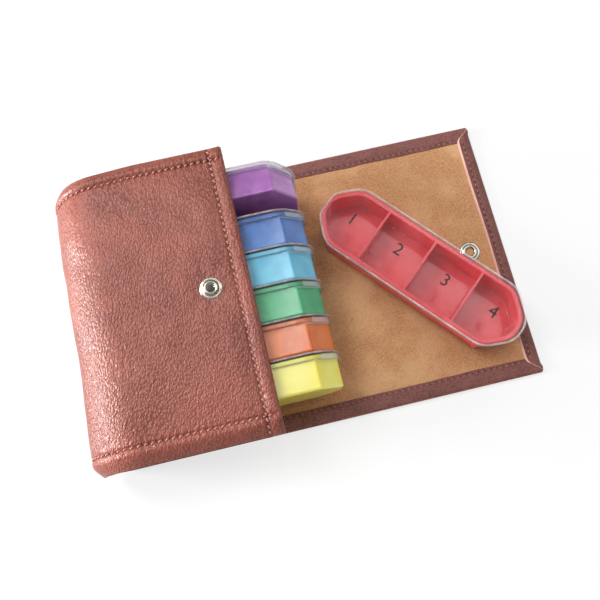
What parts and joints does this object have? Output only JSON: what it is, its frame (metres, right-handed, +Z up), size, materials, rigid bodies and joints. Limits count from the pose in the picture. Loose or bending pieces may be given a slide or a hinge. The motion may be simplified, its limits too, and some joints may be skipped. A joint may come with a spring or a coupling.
{
  "type": "weekly pill organizer",
  "caption": "Leather wallet with a lined pocket and snap flap that holds slim coloured day boxes on edge, each a tray of rooms under a clear sliding lid.",
  "frame": {"origin": "middle of the open wallet's footprint, on the surface that it lies on", "axes": "+X from the spine to the end of the open flap, +Y across the wallet, +Z up"},
  "size_m": [0.2072, 0.13, 0.0423],
  "materials": {
    "outer_leather": "pebbled, satin",
    "turned_leather": "smooth, matt",
    "lining": "brushed nap",
    "stiffener": "grey board",
    "snap_metal": "nickel plated",
    "clear_plastic": "clear, polished",
    "red_plastic": "moulded, glossy",
    "orange_plastic": "moulded, glossy",
    "yellow_plastic": "moulded, glossy",
    "green_plastic": "moulded, glossy",
    "cyan_plastic": "moulded, glossy",
    "blue_plastic": "moulded, glossy",
    "purple_plastic": "moulded, glossy"
  },
  "bodies": {
    "wallet": {"wrap_leather": "outer_leather", "wrap_lining": "lining", "back_board": "stiffener", "front_board": "stiffener", "gusset_upper": "outer_leather", "gusset_lower": "outer_leather", "mouth_binding": "outer_leather", "base_hem_upper": "turned_leather", "base_hem_lower": "turned_leather", "snap_stud": "snap_metal", "stud_rivet": "snap_metal"},
    "near_bend": {"near_bend_leather": "outer_leather", "near_bend_lining": "lining", "near_bend_hem_upper": "turned_leather", "near_bend_hem_lower": "turned_leather"},
    "flap_wall": {"wall_leather": "outer_leather", "wall_lining": "lining", "wall_hem_upper": "turned_leather", "wall_hem_lower": "turned_leather"},
    "far_bend": {"far_bend_leather": "outer_leather", "far_bend_lining": "lining", "far_bend_hem_upper": "turned_leather", "far_bend_hem_lower": "turned_leather"},
    "flap_cover": {"cover_leather": "outer_leather", "cover_lining": "lining", "cover_board": "stiffener", "cover_hem_upper": "turned_leather", "cover_hem_lower": "turned_leather", "cover_hem_end": "turned_leather", "snap_socket": "snap_metal", "socket_spring": "snap_metal", "snap_cap": "snap_metal"},
    "yellow_box": {"yellow_tray": "yellow_plastic"},
    "yellow_lid": {"yellow_lid": "clear_plastic"},
    "orange_box": {"orange_tray": "orange_plastic"},
    "orange_lid": {"orange_lid": "clear_plastic"},
    "green_box": {"green_tray": "green_plastic"},
    "green_lid": {"green_lid": "clear_plastic"},
    "cyan_box": {"cyan_tray": "cyan_plastic"},
    "cyan_lid": {"cyan_lid": "clear_plastic"},
    "blue_box": {"blue_tray": "blue_plastic"},
    "blue_lid": {"blue_lid": "clear_plastic"},
    "purple_box": {"purple_tray": "purple_plastic"},
    "purple_lid": {"purple_lid": "clear_plastic"},
    "red_box": {"red_tray": "red_plastic"},
    "red_lid": {"red_lid": "clear_plastic"}
  },
  "joints": [
    {"name": "flap_fold", "type": "hinge", "parent": "wallet", "child": "near_bend", "pos_m": [-0.0006, 0, 0.0026], "axis": [0, 1, 0], "range_deg": [-45, 0]},
    {"name": "wall_fold", "type": "hinge", "parent": "near_bend", "child": "flap_wall", "pos_m": [0.01475, 0, 0.0026], "axis": [0, 1, 0], "range_deg": [-45, 0]},
    {"name": "bend_fold", "type": "hinge", "parent": "flap_wall", "child": "far_bend", "pos_m": [0.03215, 0, 0.0026], "axis": [0, 1, 0], "range_deg": [-45, 0]},
    {"name": "cover_fold", "type": "hinge", "parent": "far_bend", "child": "flap_cover", "pos_m": [0.0475, 0, 0.0026], "axis": [0, 1, 0], "range_deg": [-45, 0]},
    {"name": "red_box_lift", "type": "slide", "parent": "wallet", "child": "red_box", "axis": [0, 0, -1], "range_m": [-0.3298, 0]},
    {"name": "yellow_box_slide", "type": "slide", "parent": "wallet", "child": "yellow_box", "axis": [1, 0, 0], "range_m": [-0.0025, 0.0305]},
    {"name": "yellow_lid_slide", "type": "slide", "parent": "yellow_box", "child": "yellow_lid", "axis": [1, 0, 0], "range_m": [0, 0.0203]},
    {"name": "orange_box_slide", "type": "slide", "parent": "wallet", "child": "orange_box", "axis": [1, 0, 0], "range_m": [-0.0025, 0.0216]},
    {"name": "orange_lid_slide", "type": "slide", "parent": "orange_box", "child": "orange_lid", "axis": [1, 0, 0], "range_m": [0, 0.0144]},
    {"name": "green_box_slide", "type": "slide", "parent": "wallet", "child": "green_box", "axis": [1, 0, 0], "range_m": [-0.0025, 0.0127]},
    {"name": "green_lid_slide", "type": "slide", "parent": "green_box", "child": "green_lid", "axis": [1, 0, 0], "range_m": [0, 0.0084]},
    {"name": "cyan_box_slide", "type": "slide", "parent": "wallet", "child": "cyan_box", "axis": [1, 0, 0], "range_m": [-0.0025, 0.0038]},
    {"name": "cyan_lid_slide", "type": "slide", "parent": "cyan_box", "child": "cyan_lid", "axis": [1, 0, 0], "range_m": [0, 0.0025]},
    {"name": "blue_box_slide", "type": "slide", "parent": "wallet", "child": "blue_box", "axis": [1, 0, 0], "range_m": [-0.0025, 0.0035]},
    {"name": "blue_lid_slide", "type": "slide", "parent": "blue_box", "child": "blue_lid", "axis": [1, 0, 0], "range_m": [0, 0.0023]},
    {"name": "purple_box_slide", "type": "slide", "parent": "wallet", "child": "purple_box", "axis": [1, 0, 0], "range_m": [-0.0025, 0.0041]},
    {"name": "purple_lid_slide", "type": "slide", "parent": "purple_box", "child": "purple_lid", "axis": [1, 0, 0], "range_m": [0, 0.0027]},
    {"name": "red_lid_slide", "type": "slide", "parent": "red_box", "child": "red_lid", "axis": [0.6629, -0.7487, 0], "range_m": [0, 0.1]}
  ],
  "couplings": [
    {"joint": "flap_fold", "follows": "red_box_lift", "rad_per_m": 2.381},
    {"joint": "wall_fold", "follows": "red_box_lift", "rad_per_m": 2.381},
    {"joint": "bend_fold", "follows": "red_box_lift", "rad_per_m": 2.381},
    {"joint": "cover_fold", "follows": "red_box_lift", "rad_per_m": 2.381}
  ]
}
